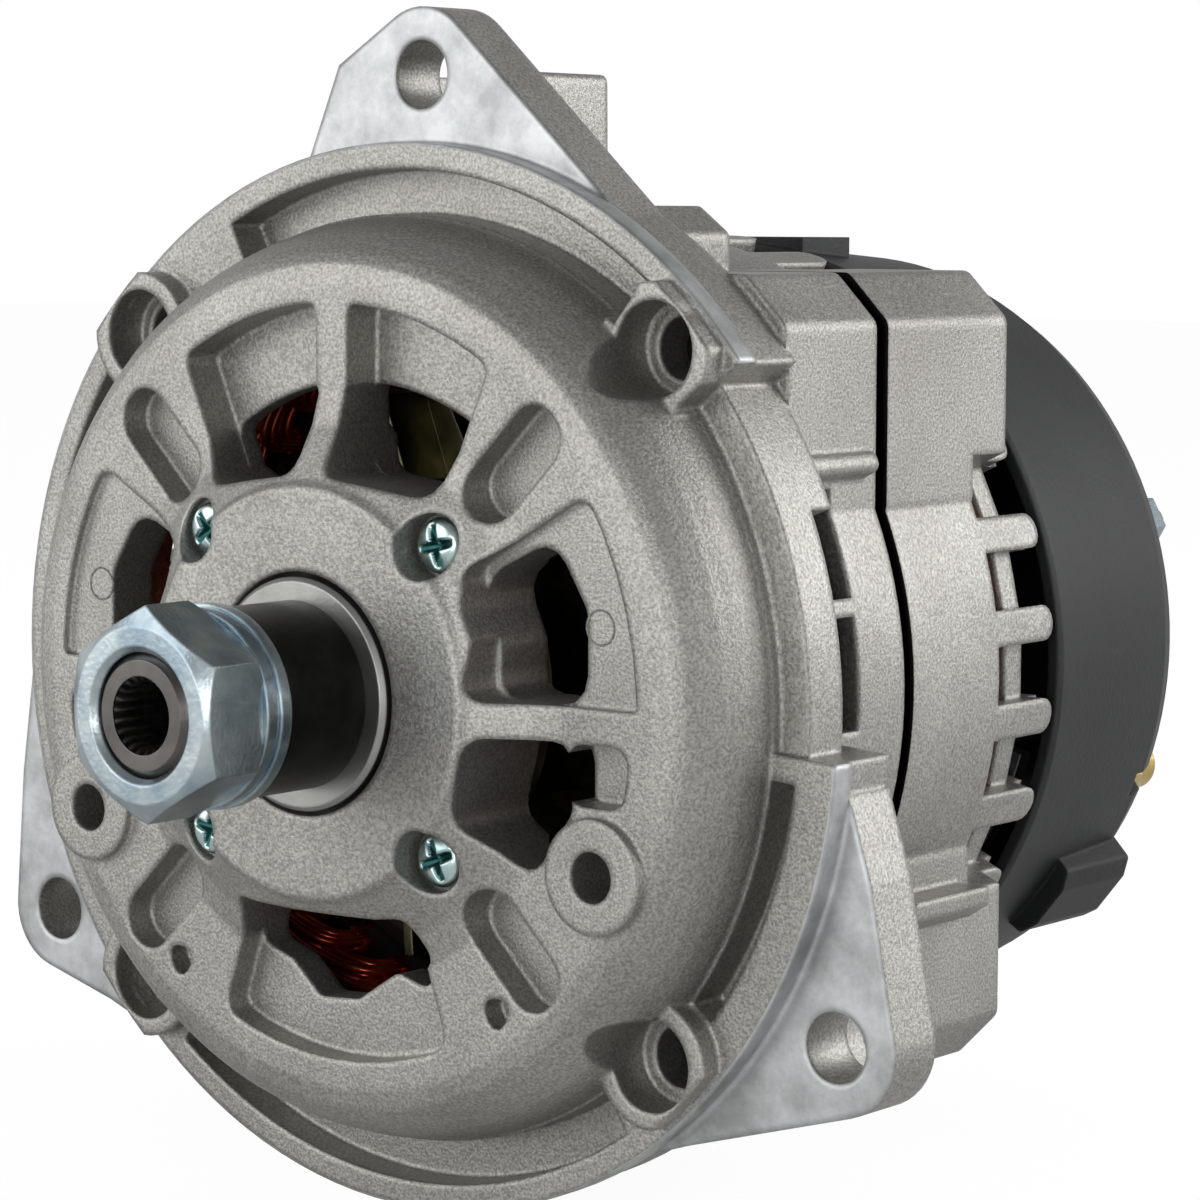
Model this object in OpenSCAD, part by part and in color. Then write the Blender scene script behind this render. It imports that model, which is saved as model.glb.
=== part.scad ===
// Flange-mounted automotive alternator with a three-ear drive-end housing.
// Every module below is drawn along its own shaft axis: z points towards the drive end,
// y is up and z = 0 is the machined face of the mounting ears. upright() turns it to +Z up.

/* [Mounting flange] */
// Diameter of the circle through the three ear holes
flange_pcd = 162; // [158:1:166]
// Radius of an ear hole
ear_hole_r = 4.6; // [4:0.1:5.2]
// Radius of an ear tip around its hole
ear_tip_r = 9; // [8.5:0.1:10]
// Thickness of the ear plate
ear_t = 9; // [7:0.5:10]
// Radius of the pilot rim that centres the machine
pilot_r = 72; // [71.5:0.1:72.5]
// Height of the pilot rim in front of the ear faces
pilot_h = 3.65; // [2.5:0.05:4]

/* [Drive-end housing] */
// Height of the hub face in front of the ear faces
hub_z = 23.1; // [22.6:0.1:24]
// Radius of the hub face
hub_r = 28; // [27.5:0.1:28.5]
// Radius of the clearance bore round the collar
hub_bore_r = 16.1; // [15.9:0.1:16.6]
// Height of the flat front plate
plate_z = 17; // [16:0.5:18]
// Radius of the flat front plate
plate_r = 54; // [53:0.5:55]
// Largest radius of the dome
dome_r = 62.5; // [62:0.1:63]
// Outer radius of the cylindrical skirt
skirt_r = 60; // [59.5:0.1:60.5]
// Wall of the skirt outside the stator core
skirt_wall = 3; // [2.6:0.1:3.4]
// Radius of the circle through the four case screws
case_screw_circle = 64.6; // [64:0.1:65]
// Radius of the case screw thread
case_screw_r = 2.5; // [2:0.1:2.8]

/* [Stator] */
// Radial depth of the laminated core
stator_depth = 13; // [12.5:0.1:13.5]
// Stack length of the core
stator_len = 34; // [32:0.5:35]
// Number of slots
stator_slots = 36; // [36:12:48]

/* [Rotor] */
// Radial air gap between the claw poles and the core
air_gap = 0.4; // [0.3:0.1:0.8]
// Claws on each pole half
claws = 6; // [5:1:7]
// Blades on each fan
fan_blades = 11; // [8:1:12]
// Radius of the shaft inside the pole halves
shaft_core_r = 11; // [10:0.5:11.5]

/* [Shaft end] */
// Across-flats size of the shaft nut
nut_af = 24; // [23:0.5:25]
// Thread radius of the shaft end
thread_r = 8; // [7.5:0.1:8.2]
// Radius of the tool socket in the shaft end
socket_r = 5; // [4.5:0.1:5.5]
// Outer radius of the black spacer sleeve
sleeve_r = 12.4; // [11.5:0.1:13]

/* [Rear end] */
// Depth of the rear cover's back face behind the ear faces
cover_depth = 108; // [106:0.5:110]
// Step from the skirt in to the lip of the rear cover
cover_inset = 1.5; // [1:0.1:2]
// Wall thickness of the rear cover
cover_wall = 2; // [1.6:0.1:2.4]
// Radius of the output stud
stud_r = 4; // [3:0.5:4.5]
// Radius of the slip rings
slip_ring_r = 8.6; // [8:0.1:9]

/* [Hidden] */
$fn = 48;

// Small overlap that makes cuts run past the faces they open
eps = 0.5;
// Running clearance between balls, races and cages
run_gap = 0.04;

// Flange
ear_angles = [89.4, 209.4, 329.4];
case_angles = [45, 135, 225, 315];
rim_wall = 3.5;
rim_inner_r = pilot_r - rim_wall;
pilot_step = 0.6;
cast_ring_r = pilot_r - pilot_step;
groove_z = -2;
band_z = 2.3;
band_r = 67;

// Walls and seats of the two housings
front_inner_z = 8;
hub_inner_z = 6.5;
crown_h = 9;
stator_r = skirt_r - skirt_wall;
stator_bore_r = stator_r - stator_depth;
crown_inner_r = stator_bore_r + 1.6;
crown_outer_r = stator_r - 3.6;
winding_room_r = crown_outer_r + 1.1;
stator_front_z = -14;
stator_rear_z = stator_front_z - stator_len;
parting_front_z = -28.8;
parting_gap = 2.5;
rear_band_z = parting_front_z - parting_gap;
end_wall_z = stator_rear_z - crown_h - 1.5;
end_wall_t = 3.5;
end_wall_back_z = end_wall_z - end_wall_t;
finger_end_z = end_wall_back_z - 4;
finger_pitch = 12.5;
finger_w = 5;
finger_tip_r = 2.4;
end_ring_r = skirt_r - 3.2;

// Case screws, from the front into the rear lugs
screw_head_r = 3.8;
screw_head_h = 5;
screw_seat_z = -10;
screw_end_z = stator_rear_z - 4;
boss_r = 8.6;
counterbore_r = 6.2;
counterbore_z = 0.5;
deep_bore_r = 4.1;

// Bearings of the standard sizes 17 x 47 x 14 and 15 x 35 x 11, and their places
front_bearing_bore_r = 8.5;
front_bearing_r = 23.5;
front_bearing_w = 14;
rear_bearing_bore_r = 7.5;
rear_bearing_r = 17.5;
rear_bearing_w = 11;
front_bearing_z = hub_inner_z;
rear_bearing_z = end_wall_z - rear_bearing_w;
rear_hub_z = rear_bearing_z - 2;
rear_sleeve_t = 1.5;
ball_front_r = 4.33;
ball_rear_r = 2.95;
retainer_t = 2.5;
retainer_screw_circle = 28.7;
retainer_screw_seat_z = 17.5;

// Shaft end stack, from the bearing outwards
collar_z = front_bearing_z + front_bearing_w;
collar_r = 15.4;
sleeve_z = collar_z + 3.5;
washer_z = 38.6;
washer_t = 1.8;
lock_z = washer_z + washer_t;
lock_t = 2.1;
nut_z = lock_z + lock_t;
nut_t = 10;
shaft_end_z = nut_z + nut_t - 0.4;

// Rotor places
rotor_r = stator_bore_r - air_gap;
pole_front_z = stator_front_z + 2.5;
pole_rear_z = stator_rear_z - 2.5;
pole_len = pole_front_z - pole_rear_z;
pole_disc_t = 10;
pole_core_r = 23;
coil_r = rotor_r - 10.6;
fan_t = 1.5;
front_blade_h = 10;
rear_blade_h = 5.4;
shoulder_r = 9.5;
slip_seat_r = 5;
slip_hub_r = 7.4;
slip_ring_w = 7.5;
slip_hub_z = 7.5 - cover_depth;
slip_hub_end_z = rear_hub_z - 1.5;
slip_outer_z = slip_hub_z + 2.5;
slip_inner_z = slip_outer_z + slip_ring_w + 2.5;

// Brush gear, above the slip rings
brush_x = 5;
brush_z = 6.4;
brush_len = 16;
brush_gap = 0.03;
brush_side_gap = 0.15;
holder_top = 39;
spring_wire_r = 0.45;
spring_coil_r = 2;

// Rear cover
cover_r = skirt_r - cover_inset;
cover_taper = 2.2;
cover_front_z = finger_end_z - 3.5;
cover_back_z = -cover_depth;
cover_room_r = cover_r - cover_taper - cover_wall;
cover_stud_circle = cover_room_r - 5.8;
cover_stud_angles = [20, 160, 270];

// Turns a part drawn along the shaft to the standing frame
module upright() {
    rotate([90, 0, 0]) children();
}

// Point at a radius and an angle
function polar(r, a) = [r * cos(a), r * sin(a)];

// Arc of points about the origin
function arc(r, a0, a1, n = 8) = [for (i = [0:n]) polar(r, a0 + (a1 - a0) * i / n)];

// Outline with every corner replaced by an arc that touches both edges
function unit(v) = v / norm(v);
function corner(a, b, c, r, n) =
    let (u = unit(a - b), w = unit(c - b), half = acos(u * w) / 2)
    let (t = min(r / tan(half), norm(a - b) * 0.48, norm(c - b) * 0.48), rr = t * tan(half))
    let (mid = b + unit(u + w) * (rr / sin(half)), p = b + u * t - mid, q = b + w * t - mid)
    let (a0 = atan2(p[1], p[0]), d = atan2(p[0] * q[1] - p[1] * q[0], p * q))
    [for (i = [0:n]) mid + polar(rr, a0 + d * i / n)];
function rounded(pts, r, n = 3) =
    let (m = len(pts))
    [for (i = [0:m - 1]) each corner(pts[(i + m - 1) % m], pts[i], pts[(i + 1) % m], r, n)];

// Wedge about the axis, as a flat shape that reaches past the whole machine
module wedge(a0, a1) {
    polygon(concat([[0, 0]], arc(150, a0, a1, 6)));
}

// Block between two heights with a flat outline
module slab(z0, z1) {
    translate([0, 0, z0]) linear_extrude(z1 - z0) children();
}

// Tube between two heights
module tube(r0, r1, z0, z1) {
    difference() {
        translate([0, 0, z0]) cylinder(r = r1, h = z1 - z0);
        translate([0, 0, z0 - eps]) cylinder(r = r0, h = z1 - z0 + 2 * eps);
    }
}

// Part of a tube between two angles
module ring_sector(r0, r1, a0, a1, z0, z1) {
    intersection() {
        tube(r0, r1, z0, z1);
        slab(z0 - eps, z1 + eps) wedge(a0, a1);
    }
}

// Copies of a shape on a circle about the axis
module at_angles(r, angles, z) {
    for (a = angles) translate(concat(polar(r, a), z)) children();
}

// Pocket with round ends, laid along a radius
module radial_slot(r_mid, length, width, z0, z1) {
    slab(z0, z1) polygon(rounded([
        [r_mid - length / 2, -width / 2], [r_mid + length / 2, -width / 2],
        [r_mid + length / 2, width / 2], [r_mid - length / 2, width / 2]], width / 2 - 0.1, 5));
}

// Windows of the front plate, seen from the front
top_left_recess = concat(arc(51, 93, 122), [[-20, 27], [-10, 27.5], [-2.4, 28.5]]);
top_left_opening = concat(arc(40.5, 93, 124), [[-19.5, 26], [-10, 27.5], [-2.4, 28.5]]);
right_recess = concat([[27, 1], [51, 1]], arc(51.2, 3, 33, 5), [[25, 17.5], [28, 10]]);
right_opening = [[27.8, 1], [42.5, 1], [42.5, 13], [37, 22], [24.6, 16], [28.3, 8]];
low_recess = [[40, -3.5], [50.2, -3.5], [49, -11.5], [40, -11.5]];
low_opening = [[27.5, -3.5], [41, -3.5], [41, -12.4], [34.5, -21.5], [24.5, -15]];
bottom_recess = concat(arc(49.6, 246, 294), [[17, -36], [15, -29], [-15, -29], [-17, -36]]);
bottom_opening = [
    [-15, -28.5], [0, -30.2], [15, -28.5], [18, -34], [13, -39], [8, -37.5], [1, -42],
    [-6, -42.5], [-11, -38], [-17, -36]
];
web_pocket = [[25, -38], [32, -37.5], [28.5, -43]];
threaded_boss = [45, -20];
threaded_hole_r = 3.3;
threaded_boss_r = 7.4;
threaded_boss_z = 18.4;
threaded_boss_foot_z = 5.2;

// Solid of revolution of the drive-end housing, without the flange
dome_foot_z = band_z - 1;
dome_h = plate_z - groove_z;
dome_end = acos((dome_foot_z - groove_z) / dome_h);
function dome(t) = [
    plate_r + (dome_r - plate_r) * sin(t) / sin(dome_end),
    groove_z + dome_h * cos(t)
];
housing_profile = concat(
    [[hub_bore_r, collar_z], [hub_bore_r, hub_z], [hub_r - 1, hub_z], [hub_r, hub_z - 1]],
    [[35, plate_z + 1.2], [39, plate_z], [plate_r - 0.6, plate_z]],
    [for (i = [0:6]) dome(14 + (dome_end - 14) * i / 6)],
    [[skirt_r, dome_foot_z], [skirt_r, parting_front_z]],
    [[stator_r, parting_front_z], [stator_r, stator_front_z], [winding_room_r, stator_front_z]],
    [[winding_room_r, 1], [winding_room_r - 5, front_inner_z], [35, front_inner_z]],
    [[33.5, hub_inner_z], [front_bearing_r, hub_inner_z], [front_bearing_r, collar_z]]
);

// Arc round an ear hole, clockwise from the edge before it to the edge after it
function tip_angle(p, c, s) =
    atan2(p[1] - c[1], p[0] - c[0]) + s * acos(ear_tip_r / norm(p - c));
function ear_tip(i, before, after) =
    let (c = polar(flange_pcd / 2, ear_angles[i]), a0 = tip_angle(before, c, -1), a1 = tip_angle(after, c, 1))
    [for (p = arc(ear_tip_r, a0, a1 > a0 ? a1 - 360 : a1, 10)) c + p];

// Outline of each ear, clockwise from its foot on the rim over its tip
top_ear = concat(
    [[-18, 58], [-19.5, 70], [-14, 82.5]], ear_tip(0, [-14, 82.5], [36, 61.3]),
    [[36, 61.3], [20, 55]]);
low_right_ear = concat(
    [[60, -8], [71.3, -9.3], [74.7, -20], [77.3, -33.3]], ear_tip(2, [77.3, -33.3], [46.7, -57.3]),
    [[46.7, -57.3], [38.7, -60], [30, -50]]);
low_left_ear = concat(
    [[-40, -50], [-49.3, -56], [-60, -52]], ear_tip(1, [-60, -52], [-78, -20]),
    [[-78, -20], [-75, 0], [-70, 8], [-60, 0]]);

module ear_plate() {
    slab(-ear_t, 0) {
        polygon(top_ear);
        polygon(low_right_ear);
        polygon(low_left_ear);
    }
}

// Cast block behind an ear, which carries the load of its bolt into the skirt
gusset_root_r = skirt_r - 3;
module ear_gusset(a, half_w, r_out, back_z) {
    rotate(a) slab(back_z, -ear_t + eps) polygon(rounded([
        [gusset_root_r, -half_w], [r_out, -half_w], [r_out, half_w], [gusset_root_r, half_w]], 1.2));
}

// Square corner of the skirt round a case screw, with a flat on top and one on its side
lug_flat = skirt_r - 5;
lug_foot = sqrt(pow(skirt_r - 0.4, 2) - pow(lug_flat, 2));
lug_chamfer = 6.5;
lug_outline = [
    [lug_foot - 1, lug_flat - 3], [lug_foot, lug_flat], [lug_flat - lug_chamfer, lug_flat],
    [lug_flat, lug_flat - lug_chamfer], [lug_flat, lug_foot], [lug_flat - 3, lug_foot - 1],
    polar(stator_r - 0.5, 45)
];
module lug(a, z0, z1) {
    rotate(a - 45) slab(z0, z1) {
        polygon(rounded(lug_outline, 2));
    }
}

module case_screw_bores() {
    for (a = case_angles) translate(polar(case_screw_circle, a)) {
        translate([0, 0, counterbore_z]) cylinder(r = counterbore_r, h = 30);
        translate([0, 0, screw_seat_z]) cylinder(r = deep_bore_r, h = 30);
        translate([0, 0, parting_front_z - 5]) cylinder(r = case_screw_r + 0.25, h = 30);
    }
}

// Bodies of the drive-end housing before any opening is cut
module housing_blank() {
    rotate_extrude() polygon(housing_profile);
    // Turned pilot rim in front of the ear faces, and the ring as cast that carries it
    rotate_extrude() polygon([
        [gusset_root_r, -ear_t], [cast_ring_r, -ear_t], [cast_ring_r, 0],
        [pilot_r, 0], [pilot_r, pilot_h], [dome_r - 1.5, pilot_h], [gusset_root_r, groove_z]]);
    difference() {
        ear_plate();
        translate([0, 0, -ear_t - eps]) cylinder(r = dome_r - 1, h = ear_t + 2 * eps);
    }
    // Case screw bosses
    intersection() {
        at_angles(case_screw_circle, case_angles, -ear_t + 1) cylinder(r = boss_r, h = ear_t + 6);
        tube(skirt_r - 2, cast_ring_r - 0.3, -ear_t, 8);
    }
    // Flats round the case screws
    difference() {
        for (a = case_angles) lug(a, parting_front_z, -ear_t + eps);
        translate([0, 0, parting_front_z - 1]) cylinder(r = stator_r + 1.2, h = 30);
    }
    difference() {
        ear_gussets();
        translate([0, 0, parting_front_z]) cylinder(r = skirt_r - 1, h = 30);
    }
    for (s = [-1, 1]) translate([s * threaded_boss[0], threaded_boss[1], threaded_boss_foot_z])
        cylinder(r = threaded_boss_r, h = threaded_boss_z - threaded_boss_foot_z);
}

// Blocks behind the ears, the foot of the top ear and the shelves beside the right-hand lugs
module ear_gussets() {
    ear_gusset(90.5, 14.5, 81.3, -23.5);
    slab(-21.8, -ear_t + eps) polygon(rounded([[21, 50], [22, 63.7], [31, 63.7], [36, 60], [36, 46]], 1.5));
    ear_gusset(328, 7.5, 80.5, -19.2);
    ear_gusset(211, 7.5, 80.5, -19.2);
    for (a = [28.5, -28.5]) ear_gusset(a, 1.5, 65, -26);
}

// Groove behind the pilot rim and the stretches where the rim is cut back to the skirt
rim_gap = [-4, 38];
rim_gap_back_z = -4.7;
module rim_cuts() {
    for (g = [[51, 117], [143, 217], [233, 305]]) ring_sector(dome_r, rim_inner_r, g[0], g[1], groove_z, 9);
    ring_sector(dome_r, rim_inner_r - 2.3, 323, 353, groove_z, 9);
    ring_sector(band_r, 95, rim_gap[0], rim_gap[1], -ear_t - 0.2, band_z + 0.1);
    ring_sector(dome_r, 95, rim_gap[0], rim_gap[1], band_z, 9);
    ring_sector(skirt_r, 95, rim_gap[0], 22.5, -ear_t - 0.3, rim_gap_back_z);
}

// Air slots of the skirt beside the front end winding
skirt_slots = [[-3.8, 10.5], [12.8, 26.4], [108, 120], [150, 167], [170, 187], [250, 267], [273, 290]];
module skirt_slot_cuts() {
    for (g = skirt_slots) ring_sector(winding_room_r - 3, skirt_r + 1.5, g[0], g[1], -18.5, -6);
}

// Windows of the front plate: shallow recess, then the opening through the wall
module side_window_cuts() {
    slab(11, 30) polygon(rounded(top_left_recess, 2.5));
    slab(0, 30) polygon(rounded(top_left_opening, 3));
    slab(15.8, 30) polygon(rounded(right_recess, 2.5));
    slab(0, 30) polygon(rounded(right_opening, 4));
    slab(12.5, 30) polygon(rounded(low_recess, 2.5));
    slab(0, 30) polygon(rounded(low_opening, 3));
    slab(13.5, 30) polygon(rounded(web_pocket, 1.5));
}

module middle_window_cuts() {
    slab(13, 30) polygon(rounded(bottom_recess, 3));
    slab(0, 30) polygon(rounded(bottom_opening, 2));
    for (a = case_angles) rotate(a) radial_slot(44, 18, 8.5, 12.5, 30);
}

module housing_bores() {
    for (a = case_angles) rotate(a) {
        translate([retainer_screw_circle, 0, retainer_screw_seat_z]) cylinder(r = 4.3, h = 10);
        translate([retainer_screw_circle, 0, 0]) cylinder(r = 2.2, h = 30);
    }
    for (s = [-1, 1]) translate([s * threaded_boss[0], threaded_boss[1], threaded_boss_foot_z + 1.2])
        cylinder(r = threaded_hole_r, h = 20);
    for (a = ear_angles) translate(concat(polar(flange_pcd / 2, a), -30)) {
        cylinder(r = ear_hole_r, h = 35);
        cylinder(r = ear_tip_r + 0.4, h = 30 - ear_t);
    }
}

module housing_with_windows() {
    difference() {
        difference() {
            housing_blank();
            rim_cuts();
        }
        side_window_cuts();
        mirror([1, 0, 0]) side_window_cuts();
        middle_window_cuts();
    }
}

module front_housing() color("silver") upright() {
    difference() {
        difference() {
            housing_with_windows();
            housing_bores();
        }
        case_screw_bores();
        skirt_slot_cuts();
    }
}

// Slot between two fingers of the rear housing: open through the wall beside the winding,
// then only outside the end ring, and wider past the round finger tips
module through_radius(a, r0) {
    rotate([0, 90, a]) translate([0, 0, r0]) linear_extrude(90 - r0) children();
}
module finger_gap(a, w) {
    tip = finger_tip_r;
    front = -stator_rear_z + 4;
    back = 4 - finger_end_z;
    through_radius(a, winding_room_r - 5) polygon([
        [front, -w / 2], [-end_wall_z - 0.5, -w / 2], [-end_wall_z - 0.5, w / 2], [front, w / 2]]);
    through_radius(a, end_ring_r) polygon(concat(
        [[-end_wall_z - 1.5, w / 2], [-end_wall_z - 1.5, -w / 2]],
        [for (t = [0:22.5:90]) [-finger_end_z - tip + tip * sin(t), -w / 2 - tip * (1 - cos(t))]],
        [[back, -w / 2 - tip], [back, w / 2 + tip]],
        [for (t = [90:-22.5:0]) [-finger_end_z - tip + tip * sin(t), w / 2 + tip * (1 - cos(t))]]));
    through_radius(a, skirt_r - 10) polygon([
        [-end_wall_back_z, -w / 2], [back, -w / 2], [back, w / 2], [-end_wall_back_z, w / 2]]);
}

rear_profile = [
    [skirt_r - 0.3, rear_band_z], [skirt_r - 0.3, finger_end_z], [skirt_r - 5.3, finger_end_z],
    [skirt_r - 6.1, end_wall_back_z], [26, end_wall_back_z], [24.5, rear_hub_z + 1.5], [23.5, rear_hub_z],
    [10, rear_hub_z], [10, rear_bearing_z], [rear_bearing_r + rear_sleeve_t, rear_bearing_z],
    [rear_bearing_r + rear_sleeve_t, end_wall_z], [winding_room_r, end_wall_z],
    [winding_room_r, stator_rear_z], [stator_r, stator_rear_z], [stator_r, rear_band_z]
];
rear_foot_angles = [200, 241, 299, 340];
foot_circle = cover_stud_circle - 0.5;
foot_z = finger_end_z;
lead_circle = cover_stud_circle - 0.5;
lead_angles = [224, 260, 280];
rear_lug_end_z = end_wall_z - 1.5;

// Posts that carry the brush holder, and the shelf below the right-hand lug
holder_screw_place = [15, 34.5];
shelf_outline = [[50, -33], [50, -28.5], [60, -28.5], [60, -31], [57, -33]];

module rear_housing_blank() {
    rotate_extrude() polygon(rear_profile);
    // Flats and solid corners behind the case screws
    difference() {
        union() {
            for (a = case_angles) lug(a, rear_lug_end_z, rear_band_z);
            slab(stator_rear_z - 1.6, rear_band_z - 0.8) polygon(shelf_outline);
        }
        translate([0, 0, rear_lug_end_z - 1]) cylinder(r = stator_r + 1.2, h = 60);
    }
    for (s = [-1, 1]) translate([s * holder_screw_place[0], holder_screw_place[1], holder_front_z])
        cylinder(r = 4.2, h = end_wall_z - holder_front_z - 1);
    at_angles(cover_stud_circle, cover_stud_angles, foot_z) cylinder(r = 5, h = end_wall_z - foot_z - 1);
    at_angles(foot_circle, rear_foot_angles, foot_z) cylinder(r = 3.6, h = end_wall_z - foot_z - 1);
}

module rear_housing() color("silver") upright() {
    finger_gap_w = 2 * skirt_r * sin(finger_pitch / 2) - finger_w;
    difference() {
        difference() {
            rear_housing_blank();
            for (q = [0, 90, 180, 270], k = [-2:2]) finger_gap(q + k * finger_pitch, finger_gap_w);
        }
        // Air windows of the end wall, between its ribs and clear of the brush holder's posts
        for (a = [0, 135, 180, 225, 270, 315]) slab(end_wall_back_z - 3, end_wall_z + 3) polygon(rounded(concat(
            arc(29, a + 5, a + 40, 4), arc(cover_stud_circle - 6, a + 42, a + 3, 6)), 2));
        at_angles(case_screw_circle, case_angles, screw_end_z - 1) cylinder(r = case_screw_r, h = 40);
        at_angles(lead_circle, lead_angles, end_wall_back_z - 5) cylinder(r = 2.2, h = 15);
        at_angles(cover_stud_circle, cover_stud_angles, foot_z - 3)
            cylinder(r = 2.5, h = end_wall_z - 1.5 - foot_z + 3);
        for (s = [-1, 1]) translate([s * holder_screw_place[0], holder_screw_place[1], holder_front_z - 2])
            cylinder(r = 2.01, h = 11);
    }
}

// Stator
module stator_core() color("dimgray") upright() {
    slot_w = 3.9;
    slab(stator_rear_z, stator_front_z) difference() {
        circle(r = stator_r);
        circle(r = stator_bore_r);
        for (i = [0:stator_slots - 1]) rotate(i * 360 / stator_slots) {
            translate([stator_bore_r - 1, -1]) square([3, 2]);
            translate([crown_inner_r, -slot_w / 2]) square([crown_outer_r - crown_inner_r, slot_w]);
        }
    }
}

// Half section of an end winding, standing from z = 0
crown_profile = [
    [crown_inner_r, 0], [crown_outer_r, 0], [crown_outer_r, crown_h - 1.6], [crown_outer_r - 1.8, crown_h],
    [crown_inner_r + 1.8, crown_h], [crown_inner_r, crown_h - 1.6]
];
module end_winding() {
    difference() {
        rotate_extrude() polygon(crown_profile);
        for (i = [0:stator_slots - 1]) rotate((i + 0.5) * 360 / stator_slots)
            translate([(crown_inner_r + crown_outer_r) / 2, 0, crown_h + 0.3])
                rotate([0, 90, 0]) cylinder(r = 1.3, h = 14, center = true);
    }
}

module stator_winding() color("firebrick") upright() {
    bar_w = 3.6;
    translate([0, 0, stator_front_z]) end_winding();
    translate([0, 0, stator_rear_z]) mirror([0, 0, 1]) end_winding();
    for (i = [0:stator_slots - 1]) rotate(i * 360 / stator_slots)
        translate([crown_inner_r + 0.3, -bar_w / 2, stator_rear_z - 1])
            cube([crown_outer_r - crown_inner_r - 0.6, bar_w, stator_len + 2]);
}

module phase_leads() color("firebrick") upright() {
    for (a = lead_angles) translate(concat(polar(lead_circle, a), board_z - 3.5))
        cylinder(r = lead_r, h = stator_rear_z - crown_h - board_z + 3.5);
}

// Ball bearing drawn from z = 0 to its width
module race(r0, r1, w, pitch, ball) {
    rotate_extrude() difference() {
        translate([r0, 0]) square([r1 - r0, w]);
        translate([pitch, w / 2]) circle(r = ball + run_gap);
    }
}

module outer_race(bore, outer, w, ball) {
    pitch = (bore + outer) / 2;
    seal_seat = pitch + ball * 0.98;
    difference() {
        race(pitch + ball * 0.72, outer, w, pitch, ball);
        for (z = [-eps, w - 1.3]) translate([0, 0, z]) cylinder(r = seal_seat, h = 1.3 + eps);
    }
}

module inner_race(bore, outer, w, ball) {
    pitch = (bore + outer) / 2;
    race(bore, pitch - ball * 0.8, w, pitch, ball);
}

module balls(bore, outer, w, ball, count) {
    for (i = [0:count - 1]) rotate(i * 360 / count) translate([(bore + outer) / 2, 0, w / 2]) sphere(r = ball);
}

module cage(bore, outer, w, ball, count) {
    pitch = (bore + outer) / 2;
    difference() {
        tube(pitch - ball * 0.3, pitch + ball * 0.3, w / 2 - ball - 0.7, w / 2 + ball + 0.7);
        for (i = [0:count - 1]) rotate(i * 360 / count) translate([pitch - ball / 2, 0, w / 2])
            rotate([0, 90, 0]) cylinder(r = ball + run_gap / 2, h = ball);
    }
}

module seals(bore, outer, w, ball) {
    pitch = (bore + outer) / 2;
    for (z = [0.2, w - 1.3]) tube(pitch - ball * 0.8 + 0.15, pitch + ball * 0.98, z, z + 1.1);
}

module at_front_bearing() upright() translate([0, 0, front_bearing_z]) children();
module at_rear_bearing() upright() translate([0, 0, rear_bearing_z]) children();

module front_bearing_outer_race() color("lightgray")
    at_front_bearing() outer_race(front_bearing_bore_r, front_bearing_r, front_bearing_w, ball_front_r);
module front_bearing_inner_race() color("lightgray")
    at_front_bearing() inner_race(front_bearing_bore_r, front_bearing_r, front_bearing_w, ball_front_r);
module front_bearing_balls() color("white")
    at_front_bearing() balls(front_bearing_bore_r, front_bearing_r, front_bearing_w, ball_front_r, 8);
module front_bearing_cage() color("tan")
    at_front_bearing() cage(front_bearing_bore_r, front_bearing_r, front_bearing_w, ball_front_r, 8);
module front_bearing_seals() color("black")
    at_front_bearing() seals(front_bearing_bore_r, front_bearing_r, front_bearing_w, ball_front_r);
module rear_bearing_outer_race() color("lightgray")
    at_rear_bearing() outer_race(rear_bearing_bore_r, rear_bearing_r, rear_bearing_w, ball_rear_r);
module rear_bearing_inner_race() color("lightgray")
    at_rear_bearing() inner_race(rear_bearing_bore_r, rear_bearing_r, rear_bearing_w, ball_rear_r);
module rear_bearing_balls() color("white")
    at_rear_bearing() balls(rear_bearing_bore_r, rear_bearing_r, rear_bearing_w, ball_rear_r, 9);
module rear_bearing_cage() color("tan")
    at_rear_bearing() cage(rear_bearing_bore_r, rear_bearing_r, rear_bearing_w, ball_rear_r, 9);
module rear_bearing_seals() color("black")
    at_rear_bearing() seals(rear_bearing_bore_r, rear_bearing_r, rear_bearing_w, ball_rear_r);
module rear_bearing_sleeve() color("ivory") upright()
    tube(rear_bearing_r, rear_bearing_r + rear_sleeve_t, rear_bearing_z, end_wall_z);

// Plate behind the front bearing, held by four screws from outside
module bearing_retainer_plate() color("silver") upright() {
    lobe_r = 5;
    difference() {
        slab(hub_inner_z - retainer_t, hub_inner_z) {
            circle(r = 27);
            for (a = case_angles) translate(polar(retainer_screw_circle, a)) circle(r = lobe_r);
        }
        translate([0, 0, 0]) cylinder(r = 20.4, h = 10);
        for (a = case_angles) translate(concat(polar(retainer_screw_circle, a), 0))
            cylinder(r = 2, h = 10);
    }
}

module retainer_screws() color("lightsteelblue") upright() {
    for (a = case_angles) translate(concat(polar(retainer_screw_circle, a), 0)) {
        translate([0, 0, hub_inner_z - retainer_t]) cylinder(r = 1.99, h = retainer_screw_seat_z);
        difference() {
            translate([0, 0, retainer_screw_seat_z]) cylinder(r = 3.7, h = 2.4);
            for (t = [0, 90]) rotate(t) translate([0, 0, retainer_screw_seat_z + 2.2])
                cube([3.8, 0.9, 2.4], center = true);
        }
    }
}

module case_screws() color("dimgray") upright() {
    for (a = case_angles) translate(polar(case_screw_circle, a)) difference() {
        union() {
            translate([0, 0, screw_end_z]) cylinder(r = case_screw_r - 0.01, h = screw_seat_z - screw_end_z + eps);
            translate([0, 0, screw_seat_z]) cylinder(r = screw_head_r, h = screw_head_h);
        }
        translate([0, 0, screw_seat_z + 2]) cylinder(r = 2.3, h = 5, $fn = 6);
    }
}

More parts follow.
